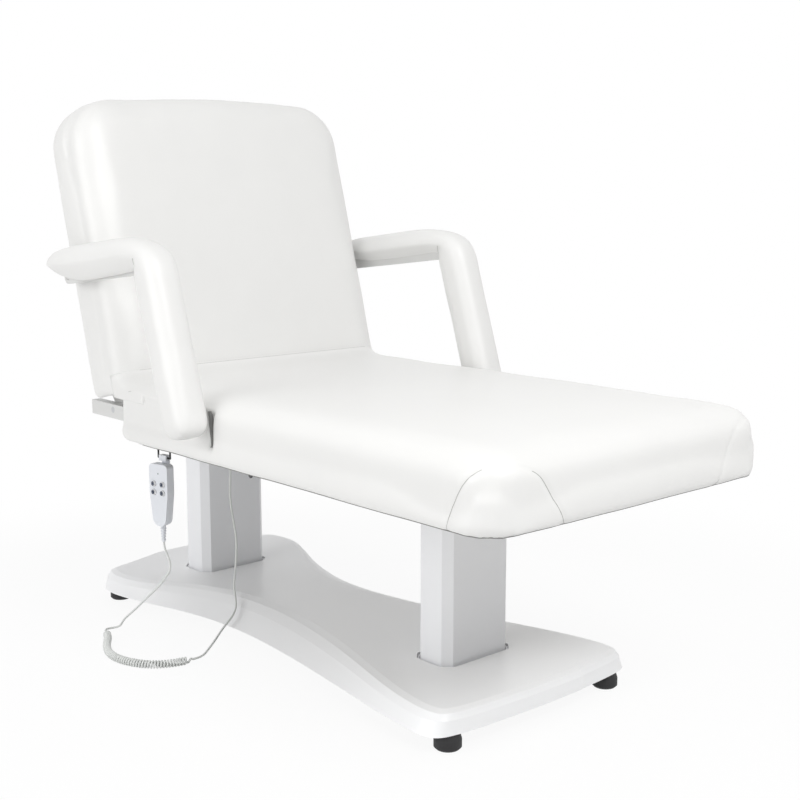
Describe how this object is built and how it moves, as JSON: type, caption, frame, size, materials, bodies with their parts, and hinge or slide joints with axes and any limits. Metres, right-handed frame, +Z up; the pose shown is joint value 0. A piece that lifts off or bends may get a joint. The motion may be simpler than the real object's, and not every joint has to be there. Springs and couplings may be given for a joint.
{
  "type": "electric massage table",
  "caption": "Padded massage table on lifting columns, with a raising backrest, armrests linked to it, a waisted base and a corded handset",
  "frame": {"origin": "centre of the bounding box in plan, at floor level, without the handset cord", "axes": "X from the head end to the foot end, Y to the left side, Z up"},
  "size_m": [1.466, 0.8962, 1.1804],
  "materials": {
    "vinyl": "smooth coated fabric, warm white",
    "cover": "satin moulding, white",
    "column_paint": "satin powder coat, white",
    "frame_paint": "powder coat, pale grey",
    "zinc": "zinc plated",
    "rubber": "matt black",
    "plywood": "raw plywood",
    "motor_black": "black",
    "drive_plastic": "black",
    "liner_plastic": "white",
    "handset_grey": "fine matt, pale grey",
    "button_grey": "fine matt, blue grey",
    "lens": "clear blue",
    "wire_black": "black coated wire",
    "cord_grey": "soft cable jacket, pale grey",
    "cable_black": "cable jacket, black"
  },
  "bodies": {
    "base": {"base_cover": "cover", "base_rails": "frame_paint", "base_cross_tubes": "frame_paint", "column_outer_head": "column_paint", "column_outer_foot": "column_paint", "column_bolts": "zinc", "slide_liners": "liner_plastic", "lift_motors": "motor_black", "handset_cord_coil": "cord_grey", "handset_cord_lead": "cord_grey", "handset_cord_drop": "cord_grey"},
    "lift": {"column_inner_head": "column_paint", "column_inner_foot": "column_paint", "lift_rods": "zinc", "top_plate_bolts": "zinc", "lift_beams": "frame_paint", "seat_cross_tubes": "frame_paint", "seat_rails": "frame_paint", "seat_board": "plywood", "seat_cushion": "vinyl", "hinge_pins": "zinc", "arm_pivot_studs": "frame_paint", "back_actuator_housing": "drive_plastic", "back_actuator_motor": "motor_black", "back_actuator_mount": "frame_paint", "control_box": "drive_plastic", "cord_gland": "drive_plastic", "motor_cable": "cable_black", "handset_hanger": "wire_black", "handset_front": "handset_grey", "handset_rear": "handset_grey", "handset_board": "drive_plastic", "handset_lens": "lens", "handset_hook": "handset_grey", "handset_strain_relief": "handset_grey"},
    "backrest": {"back_side_bars": "frame_paint", "back_cross_tubes": "frame_paint", "back_torque_bar": "frame_paint", "back_board": "plywood", "back_panel": "liner_plastic", "back_cushion": "vinyl", "arm_hinge_brackets": "frame_paint", "hinge_flap": "vinyl"},
    "back_rod": {"back_actuator_rod": "zinc"},
    "arm_leg_left": {"arm_leg_plate_left": "frame_paint", "arm_leg_padding_left": "vinyl"},
    "arm_pad_left": {"arm_pad_plate_left": "frame_paint", "arm_pad_padding_left": "vinyl"},
    "arm_leg_right": {"arm_leg_plate_right": "frame_paint", "arm_leg_padding_right": "vinyl"},
    "arm_pad_right": {"arm_pad_plate_right": "frame_paint", "arm_pad_padding_right": "vinyl"},
    "leveller_head_left": {"leveller_head_left": "rubber"},
    "leveller_head_right": {"leveller_head_right": "rubber"},
    "leveller_foot_left": {"leveller_foot_left": "rubber"},
    "leveller_foot_right": {"leveller_foot_right": "rubber"},
    "button_lift_up": {"button_lift_up": "button_grey"},
    "button_lift_down": {"button_lift_down": "button_grey"},
    "button_back_up": {"button_back_up": "button_grey"},
    "button_back_down": {"button_back_down": "button_grey"}
  },
  "joints": [
    {"name": "lift_columns", "type": "slide", "parent": "base", "child": "lift", "axis": [0, 0, 1], "range_m": [0, 0.24], "deforming": ["handset_cord_lead", "handset_cord_drop"]},
    {"name": "backrest_hinge", "type": "hinge", "parent": "lift", "child": "backrest", "pos_m": [-0.436, 0, 0.506], "axis": [0, -1, 0], "range_deg": [0, 74.4], "deforming": ["hinge_flap"]},
    {"name": "back_drive", "type": "slide", "parent": "lift", "child": "back_rod", "axis": [1, 0, 0], "range_m": [0, 0.127]},
    {"name": "arm_leg_left", "type": "hinge", "parent": "lift", "child": "arm_leg_left", "pos_m": [-0.0637, 0.406, 0.548], "axis": [0, -1, 0], "range_deg": [0, 74.4]},
    {"name": "arm_elbow_left", "type": "hinge", "parent": "arm_leg_left", "child": "arm_pad_left", "pos_m": [-0.14357, 0.406, 0.83406], "axis": [0, -1, 0], "range_deg": [-74.4, 0]},
    {"name": "arm_leg_right", "type": "hinge", "parent": "lift", "child": "arm_leg_right", "pos_m": [-0.0637, -0.406, 0.548], "axis": [0, -1, 0], "range_deg": [0, 74.4]},
    {"name": "arm_elbow_right", "type": "hinge", "parent": "arm_leg_right", "child": "arm_pad_right", "pos_m": [-0.14357, -0.406, 0.83406], "axis": [0, -1, 0], "range_deg": [-74.4, 0]},
    {"name": "leveller_head_left_turn", "type": "hinge", "parent": "base", "child": "leveller_head_left", "pos_m": [-0.662, 0.217, 0], "axis": [0, 0, 1], "continuous": true},
    {"name": "leveller_head_right_turn", "type": "hinge", "parent": "base", "child": "leveller_head_right", "pos_m": [-0.662, -0.217, 0], "axis": [0, 0, 1], "continuous": true},
    {"name": "leveller_foot_left_turn", "type": "hinge", "parent": "base", "child": "leveller_foot_left", "pos_m": [0.48, 0.217, 0], "axis": [0, 0, 1], "continuous": true},
    {"name": "leveller_foot_right_turn", "type": "hinge", "parent": "base", "child": "leveller_foot_right", "pos_m": [0.48, -0.217, 0], "axis": [0, 0, 1], "continuous": true},
    {"name": "button_lift_up_press", "type": "slide", "parent": "lift", "child": "button_lift_up", "axis": [-0.225, 0.9744, 0], "range_m": [0, 0.0012], "stiffness_N_per_m": 500, "springref_m": -0.0006},
    {"name": "button_lift_down_press", "type": "slide", "parent": "lift", "child": "button_lift_down", "axis": [-0.225, 0.9744, 0], "range_m": [0, 0.0012], "stiffness_N_per_m": 500, "springref_m": -0.0006},
    {"name": "button_back_up_press", "type": "slide", "parent": "lift", "child": "button_back_up", "axis": [-0.225, 0.9744, 0], "range_m": [0, 0.0012], "stiffness_N_per_m": 500, "springref_m": -0.0006},
    {"name": "button_back_down_press", "type": "slide", "parent": "lift", "child": "button_back_down", "axis": [-0.225, 0.9744, 0], "range_m": [0, 0.0012], "stiffness_N_per_m": 500, "springref_m": -0.0006}
  ],
  "couplings": [
    {"joint": "back_drive", "follows": "backrest_hinge", "m_per_rad": 0.09778},
    {"joint": "arm_leg_left", "follows": "backrest_hinge", "ratio": 1},
    {"joint": "arm_elbow_left", "follows": "backrest_hinge", "ratio": -1},
    {"joint": "arm_leg_right", "follows": "backrest_hinge", "ratio": 1},
    {"joint": "arm_elbow_right", "follows": "backrest_hinge", "ratio": -1}
  ]
}
